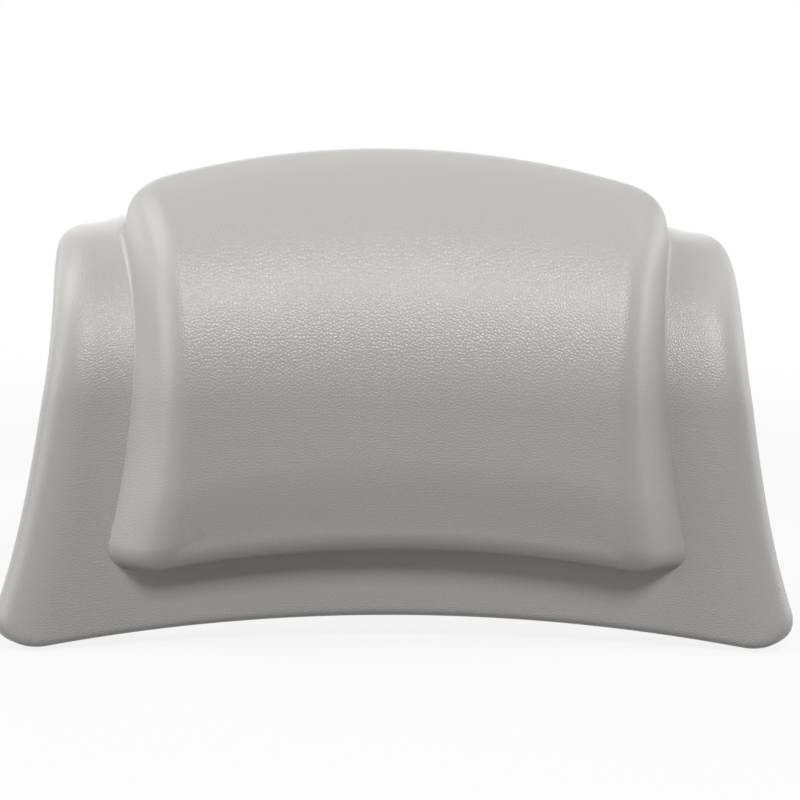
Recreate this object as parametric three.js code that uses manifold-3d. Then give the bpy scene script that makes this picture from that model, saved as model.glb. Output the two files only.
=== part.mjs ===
// Bath pillow: a winged foam cushion with a raised head pad, rolled back over the tub's rim
// and held to the tub wall by suction cups on keyhole studs.
// Millimetres, +X to the right as the bather's side is seen, -Y towards the bather, +Z up.
// The origin is the middle of the row of cups, on the tub wall.
import * as THREE from 'three';
import { mergeVertices } from 'three/addons/utils/BufferGeometryUtils.js';
import Module from 'manifold-3d';

const wasm = await Module();
wasm.setup();

// Saddle that the whole cushion follows, measured on the front face of the wings
const planRadius = 450; // sideways hollow, about an upright axis in front
const rollStart = 98; // height of the straight lower part
const rollRadius = 84; // backward roll over the tub's rim, on the centre line
const crestDrop = 18; // how much tighter the roll is at the sides of the head pad

// Winged base, laid out flat
const wingHalf = 117.5; // half its width at the head
const wingLength = 230; // from its foot edge to its head edge
const wingThick = 22;
const wingCorner = 18;
const wingArch = 11; // how far the foot edge rises in the middle
const wingCrown = 4; // how far the head edge falls at the sides
const wingSpread = 30; // steady widening from head to foot, on each side
const wingFlare = 12; // further curl outwards close to the foot, on each side
const flareCurve = 6; // power by which a flare grows towards the foot

// Head pad, laid out flat on the wings
const padSideMargin = 17; // from the side of the wings at the head
const padFootMargin = 30.5;
const padHeadMargin = 21;
const padRise = 18; // above the front face of the wings
const padRound = 8.5; // front edges of the sides, at the foot
const padFootRound = 15.5; // front edge of the foot
const padHeadRound = 11.5; // front edge of the head, and of the sides where they meet it
const padCorner = 16; // corners where the pad meets the wings
const padCornerLoss = 0.45; // share by which the lower corners are tighter at the front face
const padSideLean = 0.84; // how far a side leans in over each millimetre of height
const leanFade = 1.3; // power by which the lean fades towards the head
const padArch = 10;
const padCrown = 23.5;
const padSpread = 6;
const padFlare = 10;

// Skin and clearances
const skinThick = 1.6;
const seatGap = 0.3; // between pieces that touch
const panelGap = 0.4; // round the plate and the insert in their pocket

// Back plate and the insert that it is screwed to
const plateSideMargin = 13.5; // from the side of the wings at the head
const plateFootMargin = 3; // above the round of the foot edge
const plateHeight = 44;
const plateThick = 3;
const plateCorner = 8;
const insertThick = 6;

// Screws
const screwMargin = 6; // from the upper or lower edge of the plate to the middle of a screw
const screwRadius = 1.6;
const screwLength = 7; // under the head
const screwTip = 1; // length of its pointed end
const screwHeadRadius = 3.3;
const screwHeadThick = 1.5;
const recessSpan = 4.2; // cross recess in the head
const recessWidth = 1;
const recessDepth = 0.9;

// Studs and their keyholes
const cupCount = 4;
const keyTravel = 12; // from the narrow end of a keyhole down to its entry
const studHeadRadius = 6;
const studHeadThick = 2.6;
const studNeckRadius = 3;
const studFlangeRadius = 6.5;
const studFlangeThick = 2;
const studStemLength = 2.3; // between the flange and the knob
const studKnobRadius = 4.2;
const studKnobLength = 3.2;
const entryGap = 0.5; // round a stud's head in the entry of its keyhole
const headGap = 0.6; // round a stud's head in the slot of the insert

// Suction cups
const cupRadius = 20;
const cupNeckRadius = 8;
const cupBell = 9; // from the neck to the rim, along the axis
const bellCurve = 1.3; // power by which the bell opens out towards its rim
const cupWall = 3.3; // between the socket and the hollow
const cupHollow = 5.6; // depth of the hollow behind the rim
const cupRim = 3; // width of the flat sealing ring
const cupLip = 0.8; // height of the rim's edge
const tabReach = 4.5; // pull tab beyond the rim
const tabWidth = 9;
const tabThick = 1.4;
const tabCorner = 3;

// Sizes that follow
const wingRound = wingThick / 2;
const wingCornerRound = Math.max(wingCorner, wingRound);
const padCornerRound = Math.max(padCorner, padRound, padFootRound, padHeadRound);
const padHalf = wingHalf - padSideMargin;
const padFoot = padFootMargin;
const padHead = wingLength - padHeadMargin;
const backRadius = planRadius + wingThick;
const plateHalf = wingHalf - plateSideMargin;
const plateLow = wingArch + wingRound + plateFootMargin;
const plateMiddle = plateLow + plateHeight / 2;
const screwRise = plateHeight / 2 - screwMargin; // of each row of screws from the middle of the plate
const cupHeight = plateMiddle + keyTravel / 2;
const cupPitch = (2 * plateHalf) / cupCount;
const studHeadTop = -(plateThick + seatGap);
const flangeTop = seatGap + studFlangeThick;
const knobBase = flangeTop + studStemLength;
const knobTop = knobBase + studKnobLength;
const cupBase = flangeTop + seatGap;
const socketFloor = knobTop + seatGap;
const cupReach = socketFloor + cupWall + cupHollow;

// Steps of the meshes
const wingSteps = [6, 8]; // between the corners, across and up
const padSteps = [8, 8];
const lineGap = 0.8; // grid lines closer than this are one line
const arcSteps = 12; // along the curved plate
const roundSteps = 20; // round a cup
const smallSteps = 12; // round a stud, a screw or a hole

const vinyl = () => new THREE.MeshStandardMaterial({ color: '#bdbab6', roughness: 0.55, metalness: 0 });
const foam = () => new THREE.MeshStandardMaterial({ color: '#d9d3c3', roughness: 0.95, metalness: 0 });
const darkPlastic = () => new THREE.MeshStandardMaterial({ color: '#4a4b4d', roughness: 0.6, metalness: 0 });
const greyPlastic = () => new THREE.MeshStandardMaterial({ color: '#8f8d8a', roughness: 0.5, metalness: 0 });
const steel = () => new THREE.MeshStandardMaterial({ color: '#c4c6c8', roughness: 0.3, metalness: 1 });
const acetal = () => new THREE.MeshStandardMaterial({ color: '#eceae4', roughness: 0.35, metalness: 0 });
const clearVinyl = () => new THREE.MeshStandardMaterial({ color: '#c6cdcd', roughness: 0.25, metalness: 0 });

// Closed solid of a geometry, with shared corners merged and collapsed faces left out
function toSolid(geometry) {
  const bare = geometry.clone();
  bare.deleteAttribute('normal');
  bare.deleteAttribute('uv');
  const merged = mergeVertices(bare);
  const corners = [];
  for (let i = 0; i < merged.index.count; i += 3) {
    const face = [0, 1, 2].map((k) => merged.index.getX(i + k));
    if (new Set(face).size === 3) corners.push(...face);
  }
  const vertProperties = new Float32Array(merged.attributes.position.array);
  const triVerts = new Uint32Array(corners);
  return new wasm.Manifold(new wasm.Mesh({ numProp: 3, vertProperties, triVerts }));
}

function toMesh(name, solid, material) {
  const { vertProperties, triVerts } = solid.getMesh();
  const geometry = new THREE.BufferGeometry();
  geometry.setAttribute('position', new THREE.BufferAttribute(vertProperties, 3));
  geometry.setIndex(new THREE.BufferAttribute(triVerts, 1));
  geometry.computeVertexNormals();
  const mesh = new THREE.Mesh(geometry, material);
  mesh.name = name;
  return mesh;
}

// Flat place (across u, up v, out w) bent to the saddle
function bend(u, v, w) {
  const radius = rollRadius - crestDrop * (u / padHalf) ** 2;
  const roll = Math.max(0, (v - rollStart) / radius);
  const depth = radius - (radius + w) * Math.cos(roll);
  const height = Math.min(v, rollStart) + (radius + w) * Math.sin(roll);
  const turn = u / planRadius;
  const reach = planRadius + depth;
  return new THREE.Vector3(reach * Math.sin(turn), reach * Math.cos(turn) - planRadius, height);
}

// Outline of a slab: arched foot, crowned head and sides that spread towards the foot
function outline({ half, foot, head, arch, crown, spread, flare }) {
  return (u, v, w) => {
    const low = 1 - THREE.MathUtils.clamp((v - foot) / (head - foot), 0, 1);
    const side = (u / half) ** 2;
    const widen = 1 + (spread * low + flare * low ** flareCurve) / half;
    return bend(u * widen, v + low * arch * (1 - side) - (1 - low) * crown * side, w);
  };
}

const wingPlace = outline({
  half: wingHalf,
  foot: 0,
  head: wingLength,
  arch: wingArch,
  crown: wingCrown,
  spread: wingSpread,
  flare: wingFlare,
});

const padPlace = outline({
  half: padHalf,
  foot: padFoot,
  head: padHead,
  arch: padArch,
  crown: padCrown,
  spread: padSpread,
  flare: padFlare,
});

// Grid lines in order, without those that fall on one another
function distinct(lines) {
  const sorted = [...lines].sort((a, b) => a - b);
  return sorted.filter((line, i) => i === 0 || line - sorted[i - 1] > lineGap);
}

// Slab with rounded edges and corners, laid out flat and then put in place.
// A square back keeps its back edges sharp. Above the front of the wings its sides may lean in.
function roundedSlab(size, steps, place) {
  const { half, foot, head, back, front, round, corner } = size;
  const { squareBack = false, footRound = round, headRound = round, sideLean = 0, cornerLoss = 0 } = size;
  const { clamp, lerp, mapLinear } = THREE.MathUtils;
  const core = { half: half - corner, foot: foot + corner, head: head - corner };
  const insets = [0, round * (1 - Math.tan(Math.PI / 8)), round, corner];
  const lines = (low, high, count) => {
    const step = (high - low - 2 * corner) / count;
    const middle = Array.from({ length: count + 1 }, (_, i) => low + corner + i * step);
    return distinct([...middle, ...insets.flatMap((inset) => [low + inset, high - inset])]);
  };
  const across = lines(-half, half, steps[0]);
  const up = lines(foot, head, steps[1]);
  const through = insets.slice(0, 3);
  const backLines = squareBack ? [back, 0] : through.map((inset) => back + inset);
  const out = distinct([...backLines, ...through.map((inset) => front - inset)]);
  const box = new THREE.BoxGeometry(1, 1, 1, across.length - 1, up.length - 1, out.length - 1);
  const pick = (list, share) => list[Math.round((share + 0.5) * (list.length - 1))];
  // Section of a wall whose edge has a radius: its reach from the core of the corners, and its rise
  const section = (ring, w, radius) => {
    const coreW = clamp(w, squareBack ? back : back + radius, front - radius);
    const edge = Math.max(0, ring - corner + radius);
    const stretch = radius / (Math.hypot(edge, w - coreW) || radius);
    return { reach: ring - edge + edge * stretch, rise: coreW + (w - coreW) * stretch };
  };
  const position = box.attributes.position;
  for (let i = 0; i < position.count; i += 1) {
    const u = pick(across, position.getX(i));
    const v = pick(up, position.getY(i));
    const w = pick(out, position.getZ(i));
    const coreU = clamp(u, -core.half, core.half);
    const coreV = clamp(v, core.foot, core.head);
    const ring = Math.max(Math.abs(u - coreU), Math.abs(v - coreV));
    const turn = Math.atan2(v - coreV, u - coreU);
    const low = 1 - clamp((v - foot) / (head - foot), 0, 1) ** leanFade;
    const side = section(ring, w, lerp(headRound, round, low));
    const below = section(ring, w, footRound);
    const run = low * Math.max(0, side.rise);
    const bow = side.reach * (1 - cornerLoss * run);
    const middleU = (coreU / core.half) * (core.half + side.reach - bow - sideLean * run);
    const lowest = core.foot - below.reach + bow;
    const middleV = mapLinear(coreV, core.foot, core.head, lowest, core.head + side.reach - bow);
    const rise = lerp(side.rise, below.rise, Math.max(0, -Math.sin(turn)) ** 2);
    position.setXYZ(i, ...place(middleU + bow * Math.cos(turn), middleV + bow * Math.sin(turn), rise));
  }
  return toSolid(box);
}

const wingSlab = (inset) =>
  roundedSlab(
    {
      half: wingHalf - inset,
      foot: inset,
      head: wingLength - inset,
      back: inset - wingThick,
      front: -inset,
      round: wingRound - inset,
      corner: wingCornerRound - inset,
    },
    wingSteps,
    wingPlace,
  );

const padSlab = (inset) =>
  roundedSlab(
    {
      half: padHalf - inset,
      foot: padFoot + inset,
      head: padHead - inset,
      back: -wingRound,
      front: padRise - inset,
      round: padRound - inset,
      corner: padCornerRound - inset,
      squareBack: true,
      footRound: padFootRound - inset,
      headRound: padHeadRound - inset,
      sideLean: padSideLean,
      cornerLoss: padCornerLoss / padRise,
    },
    padSteps,
    padPlace,
  );

// Prism of a flat shape in X and Z, from near to far along Y
function prism(shape, near, far) {
  const geometry = new THREE.ExtrudeGeometry(shape, {
    depth: far - near,
    bevelEnabled: false,
    curveSegments: smallSteps / 2,
  });
  return toSolid(geometry.rotateX(Math.PI / 2).translate(0, far, 0));
}

function roundedRectangle(half, low, high, corner) {
  const shape = new THREE.Shape();
  shape.absarc(half - corner, high - corner, corner, 0, Math.PI / 2);
  shape.absarc(corner - half, high - corner, corner, Math.PI / 2, Math.PI);
  shape.absarc(corner - half, low + corner, corner, Math.PI, 1.5 * Math.PI);
  shape.absarc(half - corner, low + corner, corner, 1.5 * Math.PI, 2 * Math.PI);
  return shape;
}

// Panel that follows the back of the wings, from near to far along the radius, grown by a margin
function curvedPanel(near, far, margin) {
  const half = plateHalf + margin;
  const low = plateLow - margin;
  const high = plateLow + plateHeight + margin;
  const angle = Math.asin((half + plateCorner) / near);
  const sector = new THREE.Shape();
  sector.absarc(0, -planRadius, far, Math.PI / 2 - angle, Math.PI / 2 + angle, false);
  sector.absarc(0, -planRadius, near, Math.PI / 2 + angle, Math.PI / 2 - angle, true);
  const bar = new THREE.ExtrudeGeometry(sector, {
    depth: high - low,
    bevelEnabled: false,
    curveSegments: arcSteps,
  });
  const face = roundedRectangle(half, low, high, plateCorner + margin);
  const solid = toSolid(bar.translate(0, 0, low));
  return solid.intersect(prism(face, near * Math.cos(angle) - planRadius, far - planRadius));
}

// Places on the back of the plate, and what a piece's own axis along +Y is turned to there
const cupPlaces = Array.from({ length: cupCount }, (_, i) => ({
  along: (i - (cupCount - 1) / 2) * cupPitch,
  height: cupHeight,
}));

const screwPlaces = cupPlaces.slice(1).flatMap(({ along }) =>
  [-1, 1].map((side) => ({
    along: along - cupPitch / 2,
    height: plateMiddle + side * screwRise,
  })),
);

function onBack({ along, height }) {
  const turn = along / backRadius;
  const spot = new THREE.Object3D();
  spot.position.set(backRadius * Math.sin(turn), backRadius * Math.cos(turn) - planRadius, height);
  spot.rotation.z = -turn;
  spot.updateMatrix();
  return spot.matrix;
}

const movedTo = (solid, place) => solid.transform(onBack(place).elements);

const cutAt = (solid, cutter, places) =>
  places.reduce((rest, place) => rest.subtract(movedTo(cutter, place)), solid);

// Solid of revolution about Y, from profile points given as radius and height
function turned(points, steps) {
  const profile = points.map(([radius, height]) => new THREE.Vector2(radius, height));
  return toSolid(new THREE.LatheGeometry(profile, steps));
}

function hole(radius) {
  const shape = new THREE.Shape();
  shape.absarc(0, 0, radius, 0, 2 * Math.PI);
  return shape;
}

// Keyhole below the resting stud: a narrow slot that opens into a round entry
function keyhole() {
  const slot = studNeckRadius + seatGap;
  const entry = studHeadRadius + entryGap;
  const open = Math.acos(slot / entry);
  const shape = new THREE.Shape();
  shape.absarc(0, 0, slot, 0, Math.PI);
  shape.absarc(0, -keyTravel, entry, Math.PI - open, 2 * Math.PI + open);
  return shape;
}

// Room for a stud's head to slide in
function headSlot() {
  const radius = studHeadRadius + headGap;
  const shape = new THREE.Shape();
  shape.absarc(0, 0, radius, 0, Math.PI);
  shape.absarc(0, -keyTravel, radius, Math.PI, 2 * Math.PI);
  return shape;
}

function backPlate() {
  const past = plateThick + seatGap;
  const panel = curvedPanel(backRadius - plateThick, backRadius, 0);
  const keyed = cutAt(panel, prism(keyhole(), -past, seatGap), cupPlaces);
  const drilled = cutAt(keyed, prism(hole(screwRadius + seatGap), -past, seatGap), screwPlaces);
  const seat = prism(hole(screwHeadRadius + seatGap), -screwHeadThick - seatGap, seatGap);
  return cutAt(drilled, seat, screwPlaces);
}

function insertFrame() {
  const front = plateThick + seatGap + insertThick;
  const panel = curvedPanel(backRadius - front, backRadius - plateThick - seatGap, 0);
  const slotted = cutAt(panel, prism(headSlot(), -front - seatGap, 0), cupPlaces);
  return cutAt(slotted, prism(hole(screwRadius + seatGap), -front - seatGap, 0), screwPlaces);
}

function plateScrew() {
  const tip = -screwHeadThick - screwLength;
  const body = turned(
    [
      [0, tip],
      [screwRadius, tip + screwTip],
      [screwRadius, -screwHeadThick],
      [screwHeadRadius, -screwHeadThick],
      [screwHeadRadius, 0],
      [0, 0],
    ],
    smallSteps,
  );
  const bar = new THREE.BoxGeometry(recessSpan, 2 * recessDepth, recessWidth);
  return body.subtract(toSolid(bar)).subtract(toSolid(bar.clone().rotateY(Math.PI / 2)));
}

function cupStud() {
  const knobWaist = studKnobLength / 3;
  return turned(
    [
      [0, studHeadTop - studHeadThick],
      [studHeadRadius, studHeadTop - studHeadThick],
      [studHeadRadius, studHeadTop],
      [studNeckRadius, studHeadTop],
      [studNeckRadius, seatGap],
      [studFlangeRadius, seatGap],
      [studFlangeRadius, flangeTop],
      [studNeckRadius, flangeTop],
      [studNeckRadius, knobBase],
      [studKnobRadius, knobBase],
      [studKnobRadius, knobTop - knobWaist],
      [studNeckRadius, knobTop],
      [0, knobTop],
    ],
    smallSteps,
  );
}

// Soft cup: a neck with the stud's socket, a bell and a flat sealing ring
function suctionCup() {
  const mouth = studNeckRadius + seatGap;
  const socket = studKnobRadius + seatGap;
  const ring = cupRadius - cupRim;
  const hollowFloor = cupReach - cupHollow;
  const bellBase = cupReach - cupBell;
  const bell = (share) => [
    THREE.MathUtils.lerp(cupNeckRadius, cupRadius, share),
    THREE.MathUtils.lerp(bellBase, cupReach - cupLip, share ** bellCurve),
  ];
  const dish = (share) => [ring * share, cupReach - cupHollow * (1 - share ** 2)];
  const body = turned(
    [
      [0, socketFloor],
      [socket, socketFloor],
      [socket, knobBase - seatGap],
      [mouth, knobBase - seatGap],
      [mouth, cupBase],
      [cupNeckRadius, cupBase],
      bell(0),
      bell(0.25),
      bell(0.5),
      bell(0.75),
      bell(1),
      [cupRadius, cupReach],
      dish(1),
      dish(0.7),
      dish(0.35),
      [0, hollowFloor],
    ],
    roundSteps,
  );
  const tab = roundedRectangle(tabWidth / 2, -cupRadius - tabReach, -cupRadius + cupRim / 2, tabCorner);
  return body.add(prism(tab, cupReach - cupLip - tabThick, cupReach - cupLip));
}

// The wings: foam in a skin that has a window for the plate in its back
const pocketDepth = plateThick + insertThick + 2 * seatGap;
const pocket = curvedPanel(backRadius - pocketDepth, backRadius + wingThick, panelGap);
const wingSkin = wingSlab(0).subtract(wingSlab(skinThick)).subtract(pocket);
const wingFoam = wingSlab(skinThick + seatGap).subtract(pocket);

// The head pad: a skin that is open towards the wings, filled with foam
const wingClear = wingSlab(-seatGap);
const padSkin = padSlab(0).subtract(padSlab(skinThick)).subtract(wingClear);
const padFoam = padSlab(skinThick + seatGap).subtract(wingClear);

const pillow = new THREE.Group();
pillow.position.set(0, -wingThick - cupReach, -cupHeight);
pillow.add(
  toMesh('head_pad_skin', padSkin, vinyl()),
  toMesh('head_pad_foam', padFoam, foam()),
  toMesh('wing_skin', wingSkin, vinyl()),
  toMesh('wing_foam', wingFoam, foam()),
  toMesh('insert_frame', insertFrame(), darkPlastic()),
  toMesh('back_plate', backPlate(), greyPlastic()),
);

function addCopies(name, solid, material, places) {
  places.forEach((place, i) => {
    const mesh = toMesh(`${name}_${i + 1}`, solid, material());
    mesh.applyMatrix4(onBack(place));
    pillow.add(mesh);
  });
}

addCopies('plate_screw', plateScrew(), steel, screwPlaces);
addCopies('cup_stud', cupStud(), acetal, cupPlaces);
addCopies('suction_cup', suctionCup(), clearVinyl, cupPlaces);

export default pillow;
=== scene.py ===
"""Looks of a bath pillow, modelled round its solid parts.

Metres, in the frame of the solid parts: +X to the right as the bather's side is seen, -Y towards
the bather and +Z up. The origin is the middle of the row of suction cups, on the tub wall.
"""
import logging
import math
from dataclasses import dataclass, replace
from enum import Enum
from typing import Any, Mapping, Sequence, Union

import bmesh
import bpy
from mathutils import Matrix, Vector


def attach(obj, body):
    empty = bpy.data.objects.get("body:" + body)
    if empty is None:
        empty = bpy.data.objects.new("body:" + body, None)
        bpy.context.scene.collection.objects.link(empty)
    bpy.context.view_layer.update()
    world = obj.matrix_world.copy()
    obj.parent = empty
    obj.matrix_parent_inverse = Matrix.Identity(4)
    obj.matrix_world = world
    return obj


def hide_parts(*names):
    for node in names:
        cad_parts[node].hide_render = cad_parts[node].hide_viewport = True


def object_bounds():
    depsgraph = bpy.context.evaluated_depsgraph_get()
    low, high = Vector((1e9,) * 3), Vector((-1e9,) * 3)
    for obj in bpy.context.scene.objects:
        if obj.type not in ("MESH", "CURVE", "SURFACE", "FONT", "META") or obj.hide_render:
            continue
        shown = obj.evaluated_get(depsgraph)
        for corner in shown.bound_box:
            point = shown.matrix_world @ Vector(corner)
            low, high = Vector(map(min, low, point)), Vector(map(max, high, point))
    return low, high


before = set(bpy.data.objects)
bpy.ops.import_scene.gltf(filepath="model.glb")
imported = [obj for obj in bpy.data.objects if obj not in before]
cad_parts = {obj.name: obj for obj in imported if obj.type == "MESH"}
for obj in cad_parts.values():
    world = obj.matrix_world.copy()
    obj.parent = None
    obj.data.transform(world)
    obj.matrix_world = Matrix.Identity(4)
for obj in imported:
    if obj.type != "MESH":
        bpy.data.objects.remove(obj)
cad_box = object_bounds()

LOG = logging.getLogger("bath_pillow")
MM = 0.001
SAME_PLACE = 0.001 * MM
BLOCK_SIDE = 0.99
SHARP_FROM = math.radians(38)
SKIN_THICK = 1.6 * MM
PLATE_THICK = 3 * MM
FIT_GAP = 0.3 * MM
FLAT_MAP = "flat"
GRAIN_LAYER = "grain"
WEAR_LAYER = "wear"

Colour = tuple[float, float, float, float]
Flat = tuple[float, float]


def clamp(value: float, low: float, high: float) -> float:
    """Keeps a value between two limits."""
    return max(low, min(high, value))


def ease(value: float, low: float, high: float) -> float:
    """Rises smoothly from 0 at low to 1 at high."""
    share = clamp((value - low) / (high - low), 0.0, 1.0)
    return share * share * (3 - 2 * share)


def srgb(red: int, green: int, blue: int) -> Colour:
    """Turns a colour as a screen writes it, 0 to 255, into the linear one that a shader takes.

    Args:
        red: Red level.
        green: Green level.
        blue: Blue level.

    Returns:
        Linear red, green, blue and an alpha of 1.
    """
    def level(byte: int) -> float:
        """Linear level of one channel."""
        share = byte / 255
        return share / 12.92 if share <= 0.04045 else ((share + 0.055) / 1.055) ** 2.4

    return level(red), level(green), level(blue), 1.0


class Field:
    """Output socket of a shader node, which Python's arithmetic works on."""

    def __init__(self, board: "NodeBoard", socket: bpy.types.NodeSocket) -> None:
        """Wraps a socket of the board's nodes."""
        self.board = board
        self.socket = socket

    def _math(self, operation: str, first: "Value", second: "Value") -> "Field":
        """Adds a Math node on two values."""
        return self.board.add("ShaderNodeMath", {"operation": operation}, {0: first, 1: second})

    def __add__(self, other: "Value") -> "Field":
        """Sum."""
        return self._math("ADD", self, other)

    def __radd__(self, other: "Value") -> "Field":
        """Sum with a number in front."""
        return self._math("ADD", other, self)

    def __sub__(self, other: "Value") -> "Field":
        """Difference."""
        return self._math("SUBTRACT", self, other)

    def __rsub__(self, other: "Value") -> "Field":
        """Difference with a number in front."""
        return self._math("SUBTRACT", other, self)

    def __mul__(self, other: "Value") -> "Field":
        """Product."""
        return self._math("MULTIPLY", self, other)

    def __rmul__(self, other: "Value") -> "Field":
        """Product with a number in front."""
        return self._math("MULTIPLY", other, self)


Value = Union[Field, float, Sequence[float]]


class NodeBoard:
    """Node tree of a material or of the world."""

    def __init__(self, owner: Union[bpy.types.Material, bpy.types.World]) -> None:
        """Empties the owner's node tree and takes it over.

        Args:
            owner: The material or the world.
        """
        owner.use_nodes = True
        self.tree = owner.node_tree
        self.tree.nodes.clear()

    def add(
        self,
        kind: str,
        settings: Mapping[str, Any] | None = None,
        sockets: Mapping[Union[int, str], Value] | None = None,
        output: Union[int, str] = 0,
    ) -> Field | None:
        """Adds one node.

        Args:
            kind: Type of the node.
            settings: Properties of the node, set before its sockets.
            sockets: Values or links of its input sockets, by name or number.
            output: Name or number of the output socket that is wanted.

        Returns:
            That output, or None for a node without outputs.
        """
        node = self.tree.nodes.new(kind)
        for name, setting in (settings or {}).items():
            setattr(node, name, setting)
        for name, value in (sockets or {}).items():
            if isinstance(value, Field):
                self.tree.links.new(value.socket, node.inputs[name])
            else:
                node.inputs[name].default_value = value
        return Field(self, node.outputs[output]) if node.outputs else None

    def mixed(self, share: Value, first: Value, second: Value) -> Field:
        """Colour between two colours."""
        return self.add("ShaderNodeMix", {"data_type": "RGBA"}, {0: share, 6: first, 7: second}, 2)

    def place(self) -> Field:
        """Object coordinates, in metres."""
        return self.add("ShaderNodeTexCoord", output="Object")

    def noise(self, place: Field, size: float, detail: float = 2.0) -> Field:
        """Cloudy noise from 0 to 1 whose lumps are about a size across."""
        sockets = {"Vector": place, "Scale": 1 / size, "Detail": detail}
        return self.add("ShaderNodeTexNoise", None, sockets, "Fac")

    def attribute(self, name: str) -> Field:
        """Value that the mesh carries at its points."""
        return self.add("ShaderNodeAttribute", {"attribute_name": name}, output="Fac")

    def bump(self, height: Field, depth: float) -> Field:
        """Normal bent by a height of 0 to 1 that is a depth in metres."""
        return self.add("ShaderNodeBump", None, {"Height": height, "Distance": depth})


@dataclass(frozen=True)
class Finish:
    """Finish of a surface, made once as a material."""

    name: str
    colour: Colour

    def shade(self, board: NodeBoard) -> Field:
        """Adds the finish's shader to a board."""
        raise NotImplementedError

    def material(self) -> bpy.types.Material:
        """Makes the material, or finds it if it is made already.

        Returns:
            The material.
        """
        made = bpy.data.materials.get(self.name)
        if made is None:
            made = bpy.data.materials.new(self.name)
            board = NodeBoard(made)
            board.add("ShaderNodeOutputMaterial", None, {"Surface": self.shade(board)})
        return made


@dataclass(frozen=True)
class GrainedVinyl(Finish):
    """Moulded skin with a fine leather grain that fades out on its rounded edges, with painted shade in
    the grain's grooves.
    """

    # Darker colour, used both for painted shade in the grain's grooves and for the skin's own cloudy
    # tone.
    groove_shade_and_cloud_colour: Colour
    cell: float = 1.2 * MM
    wander: float = 0.6 * MM
    depth: float = 0.11 * MM
    cloud: float = 45 * MM
    drift_cells: float = 2.0
    drift_detail: float = 2.0
    swell_cells: float = 3.2
    fine_cells: float = 0.25
    pebble_edge: float = 0.38
    pebble_height: float = 0.72
    swell_height: float = 0.34
    fine_height: float = 0.05
    groove_shade_tint: float = 0.16
    cloud_tint: float = 0.22
    smooth_roughness: float = 0.32
    grain_roughness: float = 0.06
    cloud_roughness: float = 0.06
    gloss: float = 0.9

    def shade(self, board: NodeBoard) -> Field:
        """Adds the vinyl's shader to a board.

        Args:
            board: The board of the material.

        Returns:
            The shader's output.
        """
        flat = board.add("ShaderNodeUVMap", {"uv_map": FLAT_MAP})
        grain = board.attribute(GRAIN_LAYER)
        drift_size = self.drift_cells * self.cell
        drift_sockets = {"Vector": flat, "Scale": 1 / drift_size, "Detail": self.drift_detail}
        drift = board.add("ShaderNodeTexNoise", {"noise_dimensions": "2D"}, drift_sockets, "Color")
        bend = {0: drift, 1: (self.wander,) * 3, 2: flat}
        bent = board.add("ShaderNodeVectorMath", {"operation": "MULTIPLY_ADD"}, bend)
        cells = board.add(
            "ShaderNodeTexVoronoi",
            {"voronoi_dimensions": "2D", "feature": "DISTANCE_TO_EDGE"},
            {"Vector": bent, "Scale": 1 / self.cell},
            "Distance",
        )
        pebble = board.add(
            "ShaderNodeMapRange",
            {"interpolation_type": "SMOOTHSTEP"},
            {"Value": cells, "From Max": self.pebble_edge},
        )
        swell = board.noise(board.place(), self.swell_cells * self.cell)
        fine = board.noise(board.place(), self.fine_cells * self.cell)
        lumps = grain * (self.pebble_height * pebble + self.swell_height * swell)
        cloud = board.noise(board.place(), self.cloud)
        # Painted shade: the colour darkens in the grain's grooves, where the bump is lowest.
        groove_shade_mask = grain * (1 - pebble)
        tone = board.mixed(self.groove_shade_tint * groove_shade_mask, self.colour, self.groove_shade_and_cloud_colour)
        tone = board.mixed(self.cloud_tint * cloud, tone, self.groove_shade_and_cloud_colour)
        roughness = self.smooth_roughness + self.grain_roughness * grain
        sockets = {
            "Base Color": tone,
            "Roughness": roughness + self.cloud_roughness * cloud,
            "Specular IOR Level": self.gloss,
            "Normal": board.bump(lumps + self.fine_height * fine, self.depth),
        }
        return board.add("ShaderNodeBsdfPrincipled", None, sockets)


@dataclass(frozen=True)
class OpenFoam(Finish):
    """Cut face of an open-celled foam, with painted shade in its pores."""

    # Darker colour, used both for painted shade in the pits of the pores and for the foam's own cloudy
    # tone.
    pore_shade_and_cloud_colour: Colour
    pore: float = 0.9 * MM
    pore_depth: float = 0.45 * MM
    cloud: float = 16.2 * MM
    cloud_tint: float = 0.25
    roughness: float = 0.88
    cloud_roughness: float = 0.1

    def shade(self, board: NodeBoard) -> Field:
        """Adds the foam's shader to a board.

        Args:
            board: The board of the material.

        Returns:
            The shader's output.
        """
        place = board.place()
        sockets = {"Vector": place, "Scale": 1 / self.pore}
        pores = board.add("ShaderNodeTexVoronoi", {"feature": "SMOOTH_F1"}, sockets, "Distance")
        cloud = board.noise(place, self.cloud)
        # Painted shade: the colour darkens in the pits of the pores, where the bump is lowest.
        tone = board.mixed(pores, self.pore_shade_and_cloud_colour, self.colour)
        tone = board.mixed(self.cloud_tint * cloud, tone, self.pore_shade_and_cloud_colour)
        shader = {
            "Base Color": tone,
            "Roughness": self.roughness + self.cloud_roughness * cloud,
            "Normal": board.bump(pores, self.pore_depth),
        }
        return board.add("ShaderNodeBsdfPrincipled", None, shader)


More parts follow.
